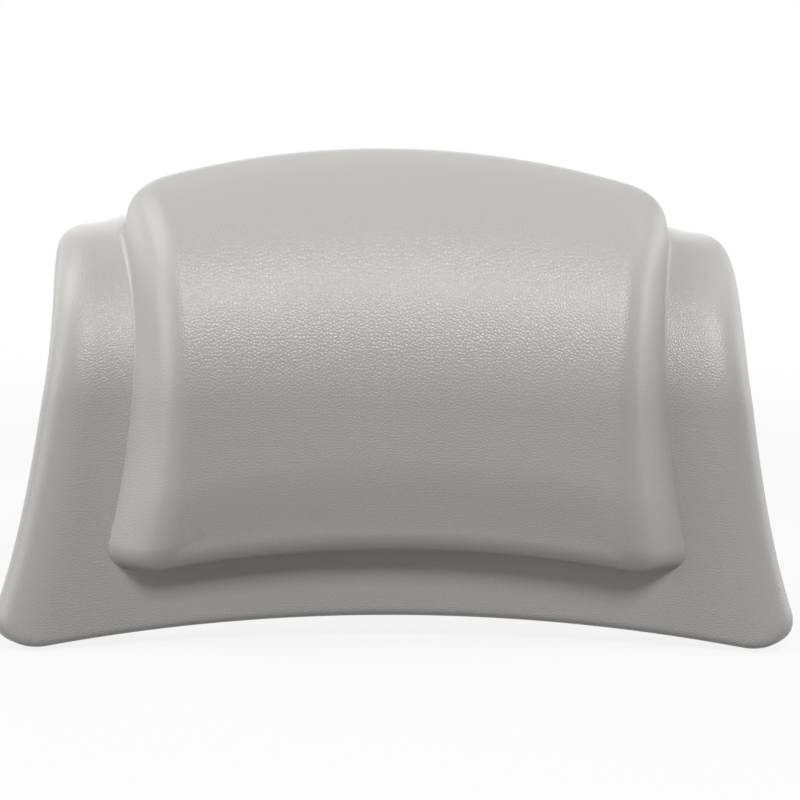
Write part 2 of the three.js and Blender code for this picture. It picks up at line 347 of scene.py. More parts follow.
@dataclass(frozen=True)
class MouldedPlastic(Finish):
    """Moulded plastic with a spark-eroded texture and edges rubbed smooth."""

    worn_colour: Colour
    roughness: float
    texture: float = 0.35 * MM
    texture_depth: float = 0.04 * MM
    texture_tint: float = 0.12
    cloud: float = 22 * MM
    cloud_roughness: float = 0.14
    least_wear: float = 0.4
    wear_polish: float = 0.16
    wear_smoothing: float = 0.7

    def shade(self, board: NodeBoard) -> Field:
        """Adds the plastic's shader to a board.

        Args:
            board: The board of the material.

        Returns:
            The shader's output.
        """
        place = board.place()
        wear = board.attribute(WEAR_LAYER)
        cloud = board.noise(place, self.cloud)
        pits = board.noise(place, self.texture)
        rubbed = wear * (self.least_wear + (1 - self.least_wear) * cloud)
        tone = board.mixed(rubbed, self.colour, self.worn_colour)
        tone = board.mixed(self.texture_tint * pits, tone, self.worn_colour)
        shader = {
            "Base Color": tone,
            "Roughness": self.roughness + self.cloud_roughness * cloud - self.wear_polish * wear,
            "Normal": board.bump(pits * (1 - self.wear_smoothing * wear), self.texture_depth),
        }
        return board.add("ShaderNodeBsdfPrincipled", None, shader)


@dataclass(frozen=True)
class TurnedSteel(Finish):
    """Bright steel with fine marks from the lathe and the driver."""

    mark_colour: Colour
    mark: float = 0.25 * MM
    mark_depth: float = 0.02 * MM
    mark_detail: float = 3.0
    mark_tint: float = 0.5
    stain: float = 2.25 * MM
    roughness: float = 0.22
    stain_roughness: float = 0.18

    def shade(self, board: NodeBoard) -> Field:
        """Adds the steel's shader to a board.

        Args:
            board: The board of the material.

        Returns:
            The shader's output.
        """
        place = board.place()
        marks = board.noise(place, self.mark, self.mark_detail)
        stain = board.noise(place, self.stain)
        shader = {
            "Base Color": board.mixed(self.mark_tint * marks, self.colour, self.mark_colour),
            "Metallic": 1.0,
            "Roughness": self.roughness + self.stain_roughness * stain,
            "Normal": board.bump(marks, self.mark_depth),
        }
        return board.add("ShaderNodeBsdfPrincipled", None, shader)


@dataclass(frozen=True)
class HazedPlastic(Finish):
    """Smooth plastic, solid or clear, with a faint haze in it."""

    haze_colour: Colour
    haze: float
    haze_depth: float
    haze_detail: float
    haze_tint: float
    roughness: float
    haze_roughness: float = 0.16
    refraction: float = 1.5
    clearness: float = 0.0

    def shade(self, board: NodeBoard) -> Field:
        """Adds the plastic's shader to a board.

        Args:
            board: The board of the material.

        Returns:
            The shader's output.
        """
        haze = board.noise(board.place(), self.haze, self.haze_detail)
        shader = {
            "Base Color": board.mixed(self.haze_tint * haze, self.colour, self.haze_colour),
            "Roughness": self.roughness + self.haze_roughness * haze,
            "IOR": self.refraction,
            "Transmission Weight": self.clearness,
            "Normal": board.bump(haze, self.haze_depth),
        }
        return board.add("ShaderNodeBsdfPrincipled", None, shader)


SKIN = GrainedVinyl("grained_skin", srgb(188, 185, 182), srgb(160, 157, 154))
FOAM = OpenFoam("open_foam", srgb(222, 214, 194), srgb(186, 174, 148))
PLATE_PLASTIC = MouldedPlastic("plate_moulding", srgb(146, 144, 141), srgb(176, 174, 171), 0.46)
INSERT_PLASTIC = MouldedPlastic("insert_moulding", srgb(72, 73, 76), srgb(108, 109, 112), 0.52)
STEEL = TurnedSteel("screw_metal", srgb(200, 202, 205), srgb(158, 160, 164))
ACETAL = HazedPlastic(
    "stud_acetal_white", srgb(236, 234, 228), srgb(218, 214, 204),
    haze=4 * MM, haze_depth=0.03 * MM, haze_detail=4.0, haze_tint=0.5, roughness=0.26,
)
CLEAR = HazedPlastic(
    "cup_clear_vinyl", srgb(226, 232, 232), srgb(204, 212, 212),
    haze=6 * MM, haze_depth=0.05 * MM, haze_detail=3.0, haze_tint=0.6, roughness=0.10,
    refraction=1.53, clearness=0.82,
)


@dataclass(frozen=True)
class Seat:
    """Where a piece belongs: its body, its material slot and the solid part that it stands for."""

    body: str
    slot: str
    node: str


def add_piece(name: str, mesh: bmesh.types.BMesh, finish: Finish, seat: Seat) -> bpy.types.Object:
    """Turns a mesh into a finished piece of the object.

    Args:
        name: Name of the piece.
        mesh: Its mesh, in place, which is freed.
        finish: Its finish.
        seat: Where it belongs.

    Returns:
        The piece.
    """
    data = bpy.data.meshes.new(name)
    mesh.to_mesh(data)
    mesh.free()
    data.polygons.foreach_set("use_smooth", [True] * len(data.polygons))
    data.set_sharp_from_angle(angle=SHARP_FROM)
    data.materials.append(finish.material())
    piece = bpy.data.objects.new(name, data)
    bpy.context.scene.collection.objects.link(piece)
    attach(piece, seat.body)
    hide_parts(seat.node)
    LOG.info("%s: %d faces of %s on %s", name, len(data.polygons), finish.name, seat.body)
    return piece


def add_padded(name: str, mesh: bmesh.types.BMesh, finish: Finish, seat: Seat) -> None:
    """Turns a mesh into a finished piece of the padding, just as add_piece does."""
    add_piece(name, mesh, finish, seat)


def points_of(made: Sequence[Any]) -> list[bmesh.types.BMVert]:
    """The points among what an operator made."""
    return [item for item in made if isinstance(item, bmesh.types.BMVert)]


def on_block(spot: Vector) -> bool:
    """Whether a place is on a side of a slab's plain block, and not on a slab that is bent already."""
    return max(map(abs, spot)) > BLOCK_SIDE


def edged(mesh: bmesh.types.BMesh, edges: list[bmesh.types.BMEdge], width: float) -> dict[str, Any]:
    """Rounds edges of a mesh.

    Args:
        mesh: The mesh.
        edges: The edges.
        width: Width of the rounding.

    Returns:
        The faces, edges and points of the rounding.
    """
    return bmesh.ops.bevel(
        mesh, geom=edges, offset=width, offset_type="OFFSET", segments=2,
        profile=0.5, affect="EDGES", material=-1, clamp_overlap=True,
    )


@dataclass(frozen=True)
class Saddle:
    """Hollow and roll that the cushion follows, measured on the front face of the wings."""

    plan_radius: float = 450 * MM
    roll_radius: float = 84 * MM
    roll_start: float = 98 * MM
    crest_drop: float = 18 * MM
    crest_half: float = 100.5 * MM
    crest_level: float = 0.06
    thick: float = 22 * MM
    cup_reach: float = 17 * MM
    cup_height: float = 53 * MM

    @property
    def back_radius(self) -> float:
        """Radius of the back of the wings, seen from above."""
        return self.plan_radius + self.thick

    def drop_share(self, side: float) -> float:
        """Share of the crest's drop at a place across, which levels off beside the pad."""
        beside = max(0.0, side - 1)
        return min(side, 1.0) ** 2 + 2 * self.crest_level * (1 - math.exp(-beside / self.crest_level))

    def swung(self, turn: float, radius: float, height: float) -> Vector:
        """Place at a turn and a radius about the upright axis in front, and a height above the foot."""
        out = radius * math.cos(turn) - self.back_radius - self.cup_reach
        return Vector((radius * math.sin(turn), out, height - self.cup_height))

    def place(self, u: float, v: float, w: float) -> Vector:
        """Bends a flat place to the saddle.

        Args:
            u: Across, from the centre line.
            v: Up, from the foot.
            w: Out towards the bather, from the front face of the wings.

        Returns:
            The place in the object's frame.
        """
        radius = self.roll_radius - self.crest_drop * self.drop_share(abs(u) / self.crest_half)
        roll = max(0.0, (v - self.roll_start) / radius)
        depth = radius - (radius + w) * math.cos(roll)
        height = min(v, self.roll_start) + (radius + w) * math.sin(roll)
        return self.swung(u / self.plan_radius, self.plan_radius + depth, height)

    def on_back(self, along: float, height: float) -> Matrix:
        """Frame of a fitting on the back, whose own axis is +Y.

        Args:
            along: Place along the back, from the centre line.
            height: Height above the foot.

        Returns:
            The fitting's frame in the object's frame.
        """
        turn = along / self.back_radius
        spot = self.swung(turn, self.back_radius, height)
        return Matrix.Translation(spot) @ Matrix.Rotation(-turn, 4, "Z")


@dataclass(frozen=True)
class Outline:
    """Plan of a slab laid out flat: arched foot, crowned head and sides that spread to the foot."""

    half: float
    foot: float
    head: float
    arch: float
    crown: float
    spread: float
    flare: float
    flare_power: int = 6
    taper: float = 0.0
    taper_power: int = 6

    def shape(self, u: float, v: float) -> Flat:
        """Moves a place of the plain rectangle to where it lies in the outline.

        Args:
            u: Across, from the centre line.
            v: Up, from the foot.

        Returns:
            Across and up in the outline.
        """
        low = 1 - clamp((v - self.foot) / (self.head - self.foot), 0.0, 1.0)
        side = (u / self.half) ** 2
        gain = self.spread * low + self.flare * low**self.flare_power
        gain -= self.taper * (1 - low) ** self.taper_power
        raised = low * self.arch * (1 - side) - (1 - low) * self.crown * side
        return u * (1 + gain / self.half), v + raised


class Back(Enum):
    """How a slab ends at its back."""

    ROUND = "rounded like its front"
    SQUARE = "closed, with square edges"
    OPEN = "left open"


@dataclass(frozen=True)
class Slab:
    """Slab with rounded edges, laid out flat and bent to the saddle."""

    saddle: Saddle
    outline: Outline
    back: float
    front: float
    edge_round: float
    corner: float
    ending: Back
    lines: tuple[int, int, int]
    foot_round: float
    head_round: float
    deepest: float
    inset: float = 0.0
    side_lean: float = 0.0
    corner_loss: float = 0.0
    head_tight: float = 0.0
    lean_fade: float = 1.3
    tuck: float = 0.0
    tuck_height: float = 8 * MM
    tuck_fade: int = 6
    foot_fillet: float = 0.0
    foot_dip: float = 0.0
    dip_span: Flat = (2 * MM, 40 * MM)
    edge_share: float = 0.28
    foot_crowding: float = 1.5
    grain_fade: Flat = (150 * MM, 192 * MM)
    edge_grain: float = 0.4
    stretch_start: float = 125 * MM
    stretch: float = 4.6

    def line(self, share: float, reach: float) -> float:
        """Place of a grid line across the slab, with more of the lines in its edges.

        Args:
            share: Place of the line, from -1 to 1.
            reach: Half the size of the slab in that direction.

        Returns:
            The distance from the middle.
        """
        flat = 1 - self.edge_share
        inner = reach - self.corner + self.inset
        size = abs(share)
        far = size / flat * inner
        if size > flat:
            far = inner + (size - flat) / self.edge_share * (reach - inner)
        return math.copysign(far, share)

    def section(self, ring: float, level: float, edge_round: float) -> tuple[float, float, float]:
        """Section of the slab's wall, with its front edge rounded.

        Args:
            ring: Distance of a point of the block from the core of its corners.
            level: Height of the point in the block, from -1 to 1.
            edge_round: Length of the round edge along the face, which is as deep unless that is too deep.

        Returns:
            Reach from the core, place outwards, and how far round the edge it is, from 0 to 1.
        """
        long = edge_round - self.inset
        squash = (min(edge_round, self.deepest) - self.inset) / long
        front = (self.front - self.inset) / squash
        if self.ending is Back.ROUND:
            back = (self.back + self.inset) / squash
            low = back + long
            w = (back + front) / 2 + level * (front - back) / 2
        else:
            low = self.back / squash
            w = low + (front - low) * ((level + 1) / 2) ** self.foot_crowding
        core_w = clamp(w, low, max(low, front - long))
        edge = max(0.0, ring - self.corner + self.inset + long)
        pull = long / (math.hypot(edge, w - core_w) or long)
        return ring - edge + edge * pull, (core_w + (w - core_w) * pull) * squash, edge / long

    def rounded(self, spot: Vector) -> tuple[float, float, float, float]:
        """Flat place of a point of the block, after its edges are rounded.

        Args:
            spot: Point of the block, from -1 to 1 in each direction.

        Returns:
            Across, up and out, and how far round an edge it is, from 0 on a face to 1 on a side.
        """
        half = self.outline.half - self.inset
        foot, head = self.outline.foot + self.inset, self.outline.head - self.inset
        corner = self.corner - self.inset
        core_half, core_foot, core_head = half - corner, foot + corner, head - corner
        u = self.line(spot.x, half)
        v = (foot + head) / 2 + self.line(spot.y, (head - foot) / 2)
        core_u = clamp(u, -core_half, core_half)
        core_v = clamp(v, core_foot, core_head)
        ring = max(abs(u - core_u), abs(v - core_v))
        turn = math.atan2(v - core_v, u - core_u)
        height = core_v + ring * math.sin(turn) - foot
        upright = clamp(height / (head - foot), 0.0, 1.0) ** self.lean_fade
        footward = max(0.0, -math.sin(turn)) ** 2
        side_round = self.edge_round + (self.head_round - self.edge_round) * upright
        side, out, turned = self.section(ring, spot.z, side_round)
        below, foot_out, foot_turned = self.section(ring, spot.z, self.foot_round)
        lean = (1 - upright) * self.side_lean * max(0.0, out)
        bow = side * (1 - self.head_tight * upright - (1 - upright) * self.corner_loss * max(0.0, out))
        out += (foot_out - out) * footward
        turned += (foot_turned - turned) * footward
        out *= 1 - self.foot_dip * (1 - ease(height, *self.dip_span))
        fillet = self.foot_fillet * upright
        if ring > 0 and out < fillet:
            side += fillet - math.sqrt(max(0.0, fillet**2 - (fillet - out) ** 2))
        curl = clamp(1 - foot_out / self.tuck_height, 0.0, 1.0)
        tuck = self.tuck * (1 - (core_u / core_half) ** self.tuck_fade)
        below -= tuck * (1 - math.sqrt(1 - curl * curl)) if ring > 0 else 0.0
        middle_u = core_u * (core_half + side - lean - bow) / core_half
        share = (core_v - core_foot) / (core_head - core_foot)
        low, high = core_foot - below + bow, core_head + side - bow
        middle_v = low + share * (high - low)
        return middle_u + bow * math.cos(turn), middle_v + bow * math.sin(turn), out, turned

    def add_to(self, mesh: bmesh.types.BMesh) -> None:
        """Adds the slab to a mesh, with its flat map and the strength of its grain.

        Args:
            mesh: The mesh.
        """
        grain = mesh.verts.layers.float.get(GRAIN_LAYER) or mesh.verts.layers.float.new(GRAIN_LAYER)
        chart = mesh.loops.layers.uv.get(FLAT_MAP) or mesh.loops.layers.uv.new(FLAT_MAP)
        bmesh.ops.create_cube(mesh, size=2.0)
        for axis, cuts in enumerate(self.lines):
            long = [edge for edge in mesh.edges if abs((edge.verts[0].co - edge.verts[1].co)[axis]) > 1]
            bmesh.ops.subdivide_edges(mesh, edges=long, cuts=cuts, use_grid_fill=True)
        block = [face for face in mesh.faces if on_block(face.verts[0].co)]
        if self.ending is Back.OPEN:
            behind = [face for face in block if face.calc_center_median().z < -BLOCK_SIDE]
            bmesh.ops.delete(mesh, geom=behind, context="FACES")
            block = [face for face in block if face.is_valid]
        flats: dict[bmesh.types.BMVert, Flat] = {}
        for vert in (vert for vert in mesh.verts if on_block(vert.co)):
            u, v, w, turned = self.rounded(vert.co)
            u, v = self.outline.shape(u, v)
            bare = (1 - self.edge_grain) * ease(turned, 0.0, 1.0)
            vert[grain] = (1 - bare) * (1 - ease(v, *self.grain_fade))
            slack = max(0.0, v - self.stretch_start)
            flats[vert] = u, v - self.stretch * slack * slack
            vert.co = self.saddle.place(u, v, w)
        for face in block:
            for loop in face.loops:
                loop[chart].uv = flats[loop.vert]
        mesh.normal_update()


def close_shell(mesh: bmesh.types.BMesh) -> None:
    """Joins the open edges of an outer and an inner wall, and turns every face outwards."""
    bmesh.ops.bridge_loops(mesh, edges=[edge for edge in mesh.edges if edge.is_boundary])
    bmesh.ops.recalc_face_normals(mesh, faces=mesh.faces)


@dataclass(frozen=True)
class PlateField:
    """Rounded rectangle on the back of the wings that the plate and the insert fill."""

    saddle: Saddle
    half: float = 104 * MM
    low: float = 25 * MM
    high: float = 69 * MM
    corner: float = 8 * MM
    room: float = 0.4 * MM
    pocket_depth: float = 9.6 * MM
    cups: int = 4
    pitch: float = 52 * MM
    screw_margin: float = 6 * MM
    back_facing: float = 0.5

    def from_core(self, spot: Vector) -> tuple[float, float, float, float]:
        """Where a place lies in a quarter of the window, seen from behind.

        Args:
            spot: The place, in the object's frame.

        Returns:
            Across and up from the middle of that quarter's corner arc, and the middle's own place.
        """
        core_x = self.half - self.corner
        core_z = (self.high - self.low) / 2 - self.corner
        middle = (self.low + self.high) / 2 - self.saddle.cup_height
        return abs(spot.x) - core_x, abs(spot.z - middle) - core_z, core_x, core_z

    def beyond(self, spot: Vector) -> float:
        """How far a place lies outside the window.

        Args:
            spot: The place, in the object's frame.

        Returns:
            The distance, or below 0 how far inside it is.
        """
        x, z, _, _ = self.from_core(spot)
        outer = math.hypot(max(x, 0.0), max(z, 0.0))
        return outer + min(max(x, z), 0.0) - self.corner - self.room

    def on_edge(self, spot: Vector) -> Vector:
        """Moves a place on the back to the nearest point of the window's edge.

        Args:
            spot: The place, in the object's frame.

        Returns:
            The point of the edge.
        """
        x, z, core_x, core_z = self.from_core(spot)
        reach = self.corner + self.room
        if x > 0 and z > 0:
            scale = reach / math.hypot(x, z)
            x, z = x * scale, z * scale
        elif x > z:
            x = reach
        else:
            z = reach
        middle = (self.low + self.high) / 2 - self.saddle.cup_height
        across = math.copysign(core_x + x, spot.x)
        height = middle + math.copysign(core_z + z, spot.z - middle) + self.saddle.cup_height
        radius = self.radius(spot)
        return self.saddle.swung(math.asin(across / radius), radius, height)

    def radius(self, spot: Vector) -> float:
        """Distance of a place from the upright axis in front."""
        return math.hypot(spot.x, spot.y + self.saddle.back_radius + self.saddle.cup_reach)

    def window(self, mesh: bmesh.types.BMesh) -> list[bmesh.types.BMFace]:
        """Finds the faces of a slab's back that lie in the window, and moves their border to its edge.

        Args:
            mesh: The slab, with its normals up to date.

        Returns:
            The faces in the window.
        """
        inside = [
            face for face in mesh.faces
            if face.normal.y > self.back_facing and self.beyond(face.calc_center_median()) < 0
        ]
        chosen = set(inside)
        for vert in mesh.verts:
            if len({face in chosen for face in vert.link_faces}) == 2:
                vert.co = self.on_edge(vert.co)
        return inside

    def spaced(self, count: int) -> list[float]:
        """Places along the plate, a pitch apart and even about the centre line."""
        return [(i - (count - 1) / 2) * self.pitch for i in range(count)]

    def cup_places(self) -> list[Flat]:
        """Places of the suction cups along and up the plate."""
        return [(along, self.saddle.cup_height) for along in self.spaced(self.cups)]

    def screw_places(self) -> list[Flat]:
        """Places of the screws along and up the plate, between the cups."""
        rows = self.low + self.screw_margin, self.high - self.screw_margin
        return [(along, height) for along in self.spaced(self.cups - 1) for height in rows]


@dataclass(frozen=True)
class HeadPad:
    """Raised head pad: a skin that is open towards the wings, filled with foam."""

    saddle: Saddle
    outline: Outline = Outline(
        half=101 * MM, foot=30.5 * MM, head=209 * MM, arch=10 * MM, crown=23.5 * MM,
        spread=0.0, flare=15 * MM, flare_power=3,
    )
    lines: tuple[int, int, int] = (96, 92, 20)
    core_lines: tuple[int, int, int] = (60, 60, 10)
    rise: float = 18 * MM
    edge_round: float = 5 * MM
    foot_round: float = 9 * MM
    head_round: float = 9 * MM
    corner: float = 16 * MM
    side_lean: float = 0.9
    lean_fade: float = 2.2
    corner_loss: float = 0.45
    tuck: float = 5 * MM
    foot_dip: float = 0.2
    fillet: float = 2.2 * MM
    seat: float = 0.1 * MM

    def slab(self, ending: Back) -> Slab:
        """The pad's outer surface.

        Args:
            ending: How it ends at its back.

        Returns:
            The slab.
        """
        return Slab(
            self.saddle,
            self.outline,
            back=self.seat,
            front=self.rise,
            edge_round=self.edge_round,
            corner=self.corner,
            ending=ending,
            lines=self.lines,
            foot_round=self.foot_round,
            head_round=self.head_round,
            deepest=self.rise,
            side_lean=self.side_lean,
            corner_loss=self.corner_loss / self.rise,
            lean_fade=self.lean_fade,
            tuck=self.tuck,
            foot_dip=self.foot_dip,
        )

    def build(self) -> None:
        """Makes the skin and the foam."""
        outer = self.slab(Back.OPEN)
        mesh = bmesh.new()
        replace(outer, foot_fillet=self.fillet).add_to(mesh)
        replace(outer, inset=SKIN_THICK).add_to(mesh)
        close_shell(mesh)
        add_padded("head_pad_cover", mesh, SKIN, Seat("pillow", "skin_vinyl", "head_pad_skin"))
        mesh = bmesh.new()
        core = self.slab(Back.SQUARE)
        replace(core, inset=SKIN_THICK + FIT_GAP, back=FIT_GAP, lines=self.core_lines).add_to(mesh)
        add_padded("head_pad_core", mesh, FOAM, Seat("pillow", "foam", "head_pad_foam"))


@dataclass(frozen=True)
class Wings:
    """Winged base: foam in a skin that has a window for the plate in its back."""

    saddle: Saddle
    field: PlateField
    outline: Outline = Outline(
        half=118.3 * MM, foot=1.5 * MM, head=230 * MM, arch=11 * MM, crown=4 * MM,
        spread=29.2 * MM, flare=12 * MM, taper=4 * MM,
    )
    lines: tuple[int, int, int] = (110, 110, 17)
    core_lines: tuple[int, int, int] = (72, 72, 11)
    corner: float = 18 * MM
    head_tight: float = 0.6
    head_round: float = 8 * MM
    foot_round: float = 3.5 * MM
    window_round: float = 0.4 * MM

    def slab(self) -> Slab:
        """The wings' outer surface.

        Returns:
            The slab.
        """
        return Slab(
            self.saddle,
            self.outline,
            back=-self.saddle.thick,
            front=0.0,
            edge_round=self.corner,
            corner=self.corner,
            ending=Back.ROUND,
            lines=self.lines,
            foot_round=self.foot_round,
            head_round=self.head_round,
            deepest=self.saddle.thick / 2,
            head_tight=self.head_tight,
        )

    def build(self) -> None:
        """Makes the skin and the foam."""
        mesh = bmesh.new()
        self.slab().add_to(mesh)
        replace(self.slab(), inset=SKIN_THICK).add_to(mesh)
        bmesh.ops.delete(mesh, geom=self.field.window(mesh), context="FACES")
        rim = [vert for vert in mesh.verts if vert.is_boundary]
        bmesh.ops.remove_doubles(mesh, verts=rim, dist=SKIN_THICK / 2)
        back = max(self.field.radius(edge.verts[0].co) for edge in mesh.edges if edge.is_boundary)
        lip = [
            edge for edge in mesh.edges
            if edge.is_boundary and self.field.radius(edge.verts[0].co) > back - SKIN_THICK / 2
        ]
        close_shell(mesh)
        edged(mesh, lip, self.window_round)
        add_padded("wing_cover", mesh, SKIN, Seat("pillow", "skin_vinyl", "wing_skin"))
        mesh = bmesh.new()
        replace(self.slab(), inset=SKIN_THICK + FIT_GAP, lines=self.core_lines).add_to(mesh)
        self.sink_pocket(mesh)
        add_padded("wing_core", mesh, FOAM, Seat("pillow", "foam", "wing_foam"))

    def sink_pocket(self, mesh: bmesh.types.BMesh) -> None:
        """Sinks the pocket for the insert and the plate into the foam's back.

        Args:
            mesh: The foam's mesh.
        """
        sunk = bmesh.ops.extrude_face_region(mesh, geom=self.field.window(mesh))["geom"]
        floor = self.saddle.back_radius - self.field.pocket_depth
        for vert in points_of(sunk):
            turn = math.asin(vert.co.x / self.field.radius(vert.co))
            vert.co = self.saddle.swung(turn, floor, vert.co.z + self.saddle.cup_height)
        bmesh.ops.recalc_face_normals(mesh, faces=mesh.faces)


@dataclass(frozen=True)
class Arc:
    """Round stretch of an edge, from one angle to another about a middle."""

    across: float
    up: float
    radius: float
    start: float
    end: float

    def points(self, step: float = math.radians(9)) -> list[Flat]:
        """Points along the arc.

        Args:
            step: Largest turn from one point to the next.

        Returns:
            The points, across and up.
        """
        count = math.ceil(abs(self.end - self.start) / step)
        turns = [self.start + (self.end - self.start) * i / count for i in range(count + 1)]
        return [
            (self.across + self.radius * math.cos(turn), self.up + self.radius * math.sin(turn))
            for turn in turns
        ]


@dataclass(frozen=True)
class Panel:
    """Panel that follows the back of the wings, with holes through it."""

    field: PlateField
    outer: float
    thick: float
    holes: tuple[tuple[Arc, ...], ...]
    edge_round: float = 0.45 * MM
    strip: float = 4 * MM
    rounded_from: float = math.radians(60)

    def border(self) -> tuple[Arc, ...]:
        """The panel's own edge, along and up the back of the wings.

        Returns:
            The arcs of its four corners.
        """
        field = self.field
        reach = field.saddle.back_radius
        across = reach * math.asin(field.half / reach) - field.corner
        low, high = field.low + field.corner, field.high - field.corner
        quarter = math.pi / 2
        middles = (across, high), (-across, high), (-across, low), (across, low)
        return tuple(
            Arc(x, z, field.corner, i * quarter, (i + 1) * quarter) for i, (x, z) in enumerate(middles)
        )

    def build(self) -> bmesh.types.BMesh:
        """Makes the panel's mesh: drawn flat, filled, thickened, edged and then bent.

        Returns:
            The mesh, with a wear layer that marks its rounded edges.
        """
        mesh = bmesh.new()
        wear = mesh.verts.layers.float.new(WEAR_LAYER)
        for arcs in (self.border(), *self.holes):
            verts = [mesh.verts.new((x, 0.0, z)) for arc in arcs for x, z in arc.points()]
            for pair in zip(verts, verts[1:] + verts[:1]):
                mesh.edges.new(pair)
        bmesh.ops.remove_doubles(mesh, verts=mesh.verts, dist=SAME_PLACE)
        bmesh.ops.triangle_fill(mesh, use_beauty=True, edges=mesh.edges[:], normal=(0, 1, 0))
        lines = int(self.field.half / self.strip)
        for i in range(-lines, lines + 1):
            geom = mesh.verts[:] + mesh.edges[:] + mesh.faces[:]
            bmesh.ops.bisect_plane(mesh, geom=geom, plane_co=(i * self.strip, 0, 0), plane_no=(1, 0, 0))
        inner = bmesh.ops.extrude_face_region(mesh, geom=mesh.faces[:])["geom"]
        bmesh.ops.translate(mesh, verts=points_of(inner), vec=(0, -self.thick, 0))
        bmesh.ops.recalc_face_normals(mesh, faces=mesh.faces)
        sharp = [edge for edge in mesh.edges if edge.calc_face_angle(0.0) > self.rounded_from]
        rounded = edged(mesh, sharp, self.edge_round)
        edging = set(rounded["faces"])
        for vert in rounded["verts"]:
            vert[wear] = float(edging.issuperset(vert.link_faces))
        saddle = self.field.saddle
        for vert in mesh.verts:
            vert.co = saddle.swung(vert.co.x / saddle.back_radius, self.outer + vert.co.y, vert.co.z)
        bmesh.ops.recalc_face_normals(mesh, faces=mesh.faces)
        return mesh


